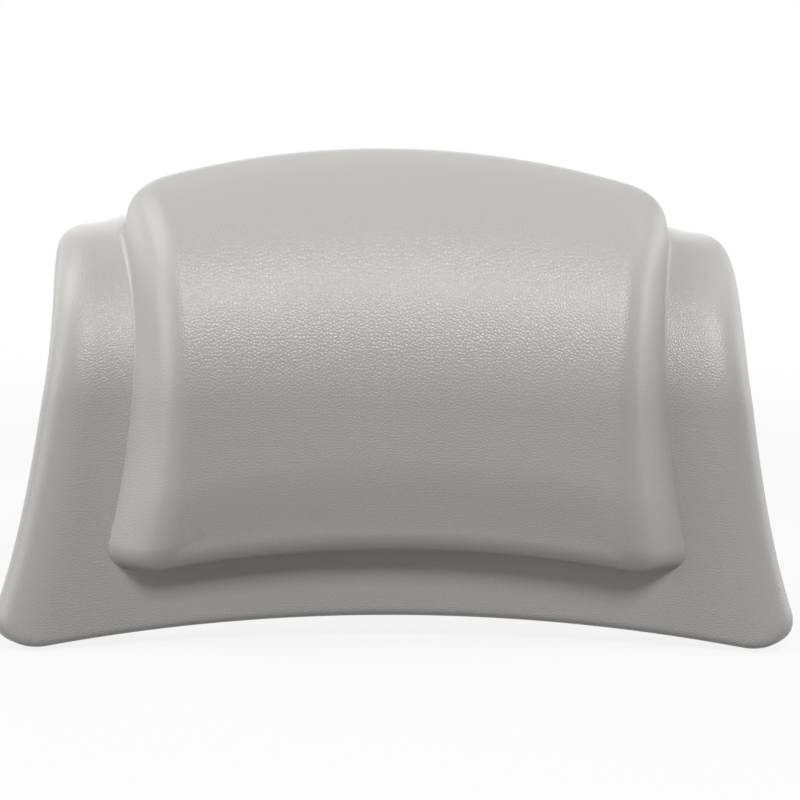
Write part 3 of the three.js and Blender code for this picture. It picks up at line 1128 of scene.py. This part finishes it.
@dataclass(frozen=True)
class Fastening:
    """Back plate, the insert that it is screwed to, and the screws."""

    field: PlateField
    insert_thick: float = 6 * MM
    travel: float = 12 * MM
    slot_radius: float = 3.3 * MM
    entry_radius: float = 6.5 * MM
    head_slot_radius: float = 6.6 * MM
    head_radius: float = 3.3 * MM
    head_thick: float = 1.5 * MM
    head_steps: int = 28
    shank_radius: float = 1.6 * MM
    shank_length: float = 7 * MM
    thread_pitch: float = 0.9 * MM
    thread_root: float = 0.78
    tip: float = 0.2
    recess_span: float = 4.2 * MM
    recess_width: float = 1 * MM
    recess_depth: float = 0.9 * MM

    def keyhole(self, along: float, height: float) -> tuple[Arc, ...]:
        """Narrow slot at a stud's place that opens into a round entry below."""
        opened = math.acos(self.slot_radius / self.entry_radius)
        return (
            Arc(along, height, self.slot_radius, 0.0, math.pi),
            Arc(along, height - self.travel, self.entry_radius, math.pi - opened, 2 * math.pi + opened),
        )

    def head_slot(self, along: float, height: float) -> tuple[Arc, ...]:
        """Room in the insert for a stud's head to slide in."""
        return (
            Arc(along, height, self.head_slot_radius, 0.0, math.pi),
            Arc(along, height - self.travel, self.head_slot_radius, math.pi, 2 * math.pi),
        )

    def bores(self, radius: float) -> tuple[tuple[Arc, ...], ...]:
        """Round holes at the screws' places."""
        return tuple((Arc(x, z, radius, 0.0, 2 * math.pi),) for x, z in self.field.screw_places())

    def build(self) -> None:
        """Makes the plate, the insert and the screws."""
        back = self.field.saddle.back_radius
        cups = self.field.cup_places()
        keyholes = tuple(self.keyhole(*place) for place in cups)
        head_holes = self.bores(self.head_radius + FIT_GAP)
        plate = Panel(self.field, back, PLATE_THICK, keyholes + head_holes)
        seat = Seat("pillow", "plate_plastic", "back_plate")
        add_piece("keyhole_plate", plate.build(), PLATE_PLASTIC, seat)
        slots = tuple(self.head_slot(*place) for place in cups)
        outer = back - PLATE_THICK - FIT_GAP
        shank_holes = self.bores(self.shank_radius + FIT_GAP)
        insert = Panel(self.field, outer, self.insert_thick, slots + shank_holes)
        seat = Seat("pillow", "insert_plastic", "insert_frame")
        add_piece("stiff_insert", insert.build(), INSERT_PLASTIC, seat)
        for number, place in enumerate(self.field.screw_places(), start=1):
            mesh = self.screw()
            bmesh.ops.transform(mesh, matrix=self.field.saddle.on_back(*place), verts=mesh.verts)
            seat = Seat("pillow", "screw_steel", f"plate_screw_{number}")
            add_piece(f"screw_{number}", mesh, STEEL, seat)

    def cross(self, mesh: bmesh.types.BMesh) -> list[bmesh.types.BMEdge]:
        """Draws the edge of the cross recess in a screw's head.

        Args:
            mesh: The screw's mesh.

        Returns:
            The edges of the cross.
        """
        arm, side = self.recess_span / 2, self.recess_width / 2
        quarter = [Vector((arm, 0, -side)), Vector((arm, 0, side)), Vector((side, 0, side))]
        turns = [Matrix.Rotation(-i * math.pi / 2, 3, "Y") for i in range(4)]
        verts = [mesh.verts.new(turn @ corner) for turn in turns for corner in quarter]
        return [mesh.edges.new(pair) for pair in zip(verts, verts[1:] + verts[:1])]

    def screw(self) -> bmesh.types.BMesh:
        """Makes a screw with a cross recess, its head's face at the origin and its shank along -Y.

        Returns:
            The mesh.
        """
        mesh = bmesh.new()
        bmesh.ops.create_circle(mesh, segments=self.head_steps, radius=self.head_radius)
        upright = Matrix.Rotation(math.pi / 2, 3, "X")
        bmesh.ops.rotate(mesh, verts=mesh.verts, cent=(0, 0, 0), matrix=upright)
        rim = mesh.edges[:]
        cross = self.cross(mesh)
        bmesh.ops.triangle_fill(mesh, use_beauty=True, edges=rim + cross, normal=(0, 1, 0))
        floor = self.drawn(mesh, cross, 1.0, self.recess_depth)
        bmesh.ops.contextual_create(mesh, geom=floor)
        edge = self.drawn(mesh, rim, 1.0, self.head_thick)
        edge = self.drawn(mesh, edge, self.shank_radius / self.head_radius, 0.0)
        for _ in range(int(self.shank_length / self.thread_pitch) - 1):
            edge = self.drawn(mesh, edge, self.thread_root, self.thread_pitch / 2)
            edge = self.drawn(mesh, edge, 1 / self.thread_root, self.thread_pitch / 2)
        edge = self.drawn(mesh, edge, self.tip, self.thread_pitch)
        bmesh.ops.contextual_create(mesh, geom=edge)
        bmesh.ops.recalc_face_normals(mesh, faces=mesh.faces)
        return mesh

    @staticmethod
    def drawn(
        mesh: bmesh.types.BMesh, edges: list[bmesh.types.BMEdge], scale: float, depth: float
    ) -> list[bmesh.types.BMEdge]:
        """Extrudes a ring of edges inwards along -Y.

        Args:
            mesh: The screw's mesh.
            edges: The ring.
            scale: How much wider the new ring is.
            depth: How much deeper it lies.

        Returns:
            The new ring.
        """
        made = bmesh.ops.extrude_edge_only(mesh, edges=edges)["geom"]
        verts = points_of(made)
        bmesh.ops.scale(mesh, verts=verts, vec=(scale, 1, scale))
        bmesh.ops.translate(mesh, verts=verts, vec=(0, -depth, 0))
        return [item for item in made if isinstance(item, bmesh.types.BMEdge)]


def spun(profile: Sequence[Flat], steps: int) -> bmesh.types.BMesh:
    """Turns a profile about the Y axis.

    Args:
        profile: Points as radius and place along the axis.
        steps: Faces round the axis.

    Returns:
        The closed mesh, with its normals outwards.
    """
    mesh = bmesh.new()
    verts = [mesh.verts.new((radius, along, 0.0)) for radius, along in profile]
    edges = [mesh.edges.new(pair) for pair in zip(verts, verts[1:])]
    bmesh.ops.spin(
        mesh, geom=verts + edges, cent=(0, 0, 0), axis=(0, 1, 0),
        angle=2 * math.pi, steps=steps, use_merge=True,
    )
    bmesh.ops.remove_doubles(mesh, verts=mesh.verts, dist=SAME_PLACE)
    bmesh.ops.recalc_face_normals(mesh, faces=mesh.faces)
    return mesh


def round_edges(piece: bpy.types.Object, width: float, segments: int = 2) -> None:
    """Rounds a piece's sharp edges, and evens out its shading.

    Args:
        piece: The piece.
        width: Width of the rounding.
        segments: Faces across it.
    """
    bevel = piece.modifiers.new("rounded_edges", "BEVEL")
    bevel.width = width
    bevel.segments = segments
    bevel.limit_method = "ANGLE"
    bevel.angle_limit = SHARP_FROM
    bevel.harden_normals = True


@dataclass(frozen=True)
class CupFitting:
    """Suction cup that turns on a stud, whose head slides in a keyhole of the plate."""

    field: PlateField
    head_radius: float = 6 * MM
    head_thick: float = 2.6 * MM
    neck_radius: float = 3 * MM
    flange_radius: float = 6.5 * MM
    flange_thick: float = 2 * MM
    stem: float = 2.3 * MM
    knob_radius: float = 4.2 * MM
    knob_length: float = 3.2 * MM
    cup_radius: float = 20 * MM
    cup_neck_radius: float = 8 * MM
    bell: float = 9 * MM
    bell_power: float = 1.3
    hollow: float = 5.6 * MM
    ring: float = 3 * MM
    lip: float = 0.8 * MM
    tab_half_turn: float = math.radians(13)
    tab_reach: float = 4.5 * MM
    tab_lift: float = 0.5 * MM
    tab_steps: tuple[Flat, ...] = ((0.45, 1.0), (0.35, 0.92), (0.2, 0.6))
    rim_share: float = 0.99
    rim_slope: float = 0.1
    stud_steps: int = 40
    cup_steps: int = 72
    curve_steps: int = 12
    stud_edge: float = 0.3 * MM
    cup_edge: float = 0.2 * MM

    @property
    def flange_top(self) -> float:
        """Far face of the flange, from the back of the plate."""
        return FIT_GAP + self.flange_thick

    @property
    def knob_base(self) -> float:
        """Near face of the knob, from the back of the plate."""
        return self.flange_top + self.stem

    def stud(self) -> bmesh.types.BMesh:
        """Makes the stud: head, neck, flange, stem and knob.

        Returns:
            The mesh.
        """
        head_top = -PLATE_THICK - FIT_GAP
        knob_top = self.knob_base + self.knob_length
        return spun(
            [
                (0.0, head_top - self.head_thick),
                (self.head_radius, head_top - self.head_thick),
                (self.head_radius, head_top),
                (self.neck_radius, head_top),
                (self.neck_radius, FIT_GAP),
                (self.flange_radius, FIT_GAP),
                (self.flange_radius, self.flange_top),
                (self.neck_radius, self.flange_top),
                (self.neck_radius, self.knob_base),
                (self.knob_radius, self.knob_base),
                (self.knob_radius, knob_top - self.knob_length / 3),
                (self.neck_radius, knob_top),
                (0.0, knob_top),
            ],
            self.stud_steps,
        )

    def cup(self) -> bmesh.types.BMesh:
        """Makes the cup: a neck with the stud's socket, a bell, a sealing ring and a pull tab.

        Returns:
            The mesh.
        """
        reach = self.field.saddle.cup_reach
        mouth, socket = self.neck_radius + FIT_GAP, self.knob_radius + FIT_GAP
        floor = self.knob_base + self.knob_length + FIT_GAP
        base = self.flange_top + FIT_GAP
        bell_base = reach - self.bell
        rise = self.bell - self.lip
        shares = [i / self.curve_steps for i in range(self.curve_steps + 1)]
        spread = self.cup_radius - self.cup_neck_radius
        bell = [
            (self.cup_neck_radius + spread * share, bell_base + rise * share**self.bell_power)
            for share in shares
        ]
        seal = self.cup_radius - self.ring
        dish = [(seal * share, reach - self.hollow * (1 - share**2)) for share in reversed(shares)]
        neck = [(self.cup_neck_radius - self.lip / 2, base), (self.cup_neck_radius, base + self.lip / 2)]
        step = self.knob_base - FIT_GAP
        start = [(0.0, floor), (socket, floor), (socket, step), (mouth, step), (mouth, base)]
        mesh = spun(start + neck + bell + [(self.cup_radius, reach)] + dish, self.cup_steps)
        self.pull_tab(mesh)
        return mesh

    def grows_tab(self, face: bmesh.types.BMFace) -> bool:
        """Whether the pull tab grows from a face.

        Args:
            face: A face of the cup.

        Returns:
            True for the edge of the rim at its lowest part.
        """
        spot = face.calc_center_median()
        off = abs(math.atan2(spot.x, -spot.z))
        edge = math.hypot(spot.x, spot.z) > self.rim_share * self.cup_radius
        return edge and abs(face.normal.y) < self.rim_slope and off < self.tab_half_turn

    def pull_tab(self, mesh: bmesh.types.BMesh) -> None:
        """Draws a pull tab out of the lowest part of a cup's rim.

        Args:
            mesh: The cup's mesh.
        """
        faces = [face for face in mesh.faces if self.grows_tab(face)]
        for reach, width in self.tab_steps:
            made = bmesh.ops.extrude_face_region(mesh, geom=faces)["geom"]
            verts = points_of(made)
            faces = [item for item in made if isinstance(item, bmesh.types.BMFace)]
            bmesh.ops.scale(mesh, verts=verts, vec=(width, 1, 1))
            step = 0, -reach * self.tab_lift, -reach * self.tab_reach
            bmesh.ops.translate(mesh, verts=verts, vec=step)
        bmesh.ops.recalc_face_normals(mesh, faces=mesh.faces)

    def build(self) -> None:
        """Makes each cup and its stud at their place on the plate."""
        for number, place in enumerate(self.field.cup_places(), start=1):
            spot = self.field.saddle.on_back(*place)
            mesh = self.stud()
            bmesh.ops.transform(mesh, matrix=spot, verts=mesh.verts)
            seat = Seat(f"stud_{number}", "stud_acetal", f"cup_stud_{number}")
            round_edges(add_piece(f"swivel_stud_{number}", mesh, ACETAL, seat), self.stud_edge)
            mesh = self.cup()
            bmesh.ops.transform(mesh, matrix=spot, verts=mesh.verts)
            seat = Seat(f"cup_{number}", "cup_vinyl", f"suction_cup_{number}")
            round_edges(add_piece(f"soft_cup_{number}", mesh, CLEAR, seat), self.cup_edge)


@dataclass(frozen=True)
class SoftBox:
    """Square studio lamp that faces the object.

    Its turn is counted from the camera's side towards the right. At a level of 1 it would show a
    white sheet that faces it as white.
    """

    name: str
    turn: float
    tilt: float
    size: float
    level: float
    distance: float = 1.2
    full_power: float = math.pi**2

    def build(self, aim: Vector) -> None:
        """Makes the lamp and turns it to a place.

        Args:
            aim: The place that it faces.
        """
        lamp = bpy.data.lights.new(self.name, "AREA")
        lamp.shape = "SQUARE"
        lamp.size = self.size
        lamp.energy = self.level * self.full_power * self.distance**2
        turn, tilt = math.radians(self.turn), math.radians(self.tilt)
        level = math.cos(tilt)
        way = Vector((math.sin(turn) * level, -math.cos(turn) * level, math.sin(tilt)))
        stand = bpy.data.objects.new(self.name, lamp)
        stand.location = aim + self.distance * way
        stand.rotation_euler = (-way).to_track_quat("-Z", "Y").to_euler()
        bpy.context.scene.collection.objects.link(stand)


@dataclass(frozen=True)
class Studio:
    """White floor and surroundings, soft lamps and the camera."""

    pivot: tuple[float, float, float] = (0.0, -9 * MM, 27 * MM)
    azimuth: float = math.radians(-3.72)
    elevation: float = math.radians(8.0)
    roll: float = math.radians(1.03)
    distance: float = 0.9
    aim_right: float = 2.35 * MM
    aim_up: float = 14.36 * MM
    sensor: float = 36.0
    picture: int = 800
    pixel: float = 0.402 * MM
    ambient: float = 0.02
    floor_radius: float = 2.5
    floor_steps: int = 96
    floor_white: Flat = (0.45, 1.1)
    floor_glow: float = 0.86
    floor_seen: Colour = (0.86, 0.86, 0.86, 1.0)
    floor_lit: Colour = (0.19, 0.19, 0.19, 1.0)
    lamp_aim: tuple[float, float, float] = (0.0, -9 * MM, 40 * MM)
    lamps: tuple[SoftBox, ...] = (
        SoftBox("key_box", 11, 45, 0.35, 0.54),
        SoftBox("left_box", 270, 53, 0.7, 0.33),
        SoftBox("right_box", 90, 53, 0.7, 0.11),
        SoftBox("low_left_box", 290, 14, 0.7, 0.26),
        SoftBox("low_right_box", 90, 14, 0.7, 0.21),
        SoftBox("rim_left_box", 240, 14, 0.7, 0.14),
        SoftBox("rim_right_box", 120, 14, 0.7, 0.10),
        SoftBox("back_box", 180, 20, 1.0, 0.16),
    )

    def build(self) -> None:
        """Makes the studio."""
        bpy.context.scene.view_settings.view_transform = "Standard"
        self.build_camera()
        self.build_world()
        self.build_floor()
        for lamp in self.lamps:
            lamp.build(Vector(self.lamp_aim))

    def build_camera(self) -> None:
        """Makes the camera at the photograph's angle."""
        level = math.cos(self.elevation)
        back = Vector((
            math.sin(self.azimuth) * level,
            -math.cos(self.azimuth) * level,
            math.sin(self.elevation),
        ))
        right = Vector((0, 0, 1)).cross(back).normalized()
        up = back.cross(right)
        turn = Matrix.Rotation(self.roll, 3, back)
        right, up = turn @ right, turn @ up
        eye = Vector(self.pivot) + back * self.distance
        aim = Vector(self.pivot) + right * self.aim_right + up * self.aim_up
        back = (eye - aim).normalized()
        right = up.cross(back).normalized()
        up = back.cross(right)
        lens = bpy.data.cameras.new("photo_camera")
        lens.sensor_width = self.sensor
        lens.lens = self.sensor * self.distance / (self.pixel * self.picture)
        camera = bpy.data.objects.new("photo_camera", lens)
        camera.matrix_world = Matrix.Translation(eye) @ Matrix((right, up, back)).transposed().to_4x4()
        bpy.context.scene.collection.objects.link(camera)
        bpy.context.scene.camera = camera

    @staticmethod
    def seen(board: NodeBoard) -> Field:
        """Tells what is seen, straight, mirrored or through something clear, from what only lights.

        Args:
            board: The board of the floor or the world.

        Returns:
            1 for what is seen, and else 0.
        """
        straight, mirrored, through = (
            board.add("ShaderNodeLightPath", output=f"Is {kind} Ray")
            for kind in ("Camera", "Glossy", "Transmission")
        )
        sockets = {0: straight + mirrored, 1: through}
        return board.add("ShaderNodeMath", {"operation": "ADD", "use_clamp": True}, sockets)

    def build_world(self) -> None:
        """Makes surroundings that look white and light the object softly."""
        world = bpy.data.worlds.new("white_room")
        bpy.context.scene.world = world
        board = NodeBoard(world)
        dim = board.add("ShaderNodeBackground", None, {"Color": (1, 1, 1, 1), "Strength": self.ambient})
        white = board.add("ShaderNodeBackground", None, {"Color": (1, 1, 1, 1), "Strength": 1.0})
        both = board.add("ShaderNodeMixShader", None, {0: self.seen(board), 1: dim, 2: white})
        board.add("ShaderNodeOutputWorld", None, {"Surface": both})

    def build_floor(self) -> None:
        """Makes a pale floor that keeps the object's shadow and fades to white further out."""
        mesh = bmesh.new()
        bmesh.ops.create_circle(mesh, cap_ends=True, segments=self.floor_steps, radius=self.floor_radius)
        bmesh.ops.translate(mesh, verts=mesh.verts, vec=(0, 0, cad_box[0].z))
        data = bpy.data.meshes.new("floor")
        mesh.to_mesh(data)
        mesh.free()
        paint = bpy.data.materials.new("floor_paint")
        board = NodeBoard(paint)
        far = board.add("ShaderNodeVectorMath", {"operation": "LENGTH"}, {0: board.place()}, "Value")
        near, wide = self.floor_white
        span = {"Value": far, "From Min": near, "From Max": wide, "To Min": self.floor_glow}
        glow = board.add("ShaderNodeMapRange", {"interpolation_type": "SMOOTHSTEP"}, span)
        seen = self.seen(board)
        lit = board.add("ShaderNodeBsdfDiffuse", None, {"Color": self.floor_lit})
        shown = board.add("ShaderNodeBsdfDiffuse", None, {"Color": self.floor_seen})
        matt = board.add("ShaderNodeMixShader", None, {0: seen, 1: lit, 2: shown})
        white = board.add("ShaderNodeEmission", None, {"Color": (1, 1, 1, 1), "Strength": 1.0})
        both = board.add("ShaderNodeMixShader", None, {0: glow * seen, 1: matt, 2: white})
        board.add("ShaderNodeOutputMaterial", None, {"Surface": both})
        data.materials.append(paint)
        floor = bpy.data.objects.new("floor", data)
        bpy.context.scene.collection.objects.link(floor)


def main() -> None:
    """Builds the studio and the pillow."""
    Studio().build()
    saddle = Saddle()
    plate_field = PlateField(saddle)
    HeadPad(saddle).build()
    Wings(saddle, plate_field).build()
    Fastening(plate_field).build()
    CupFitting(plate_field).build()


if __name__ == "__main__":
    logging.basicConfig(level=logging.INFO, format="%(name)s %(message)s")
    main()
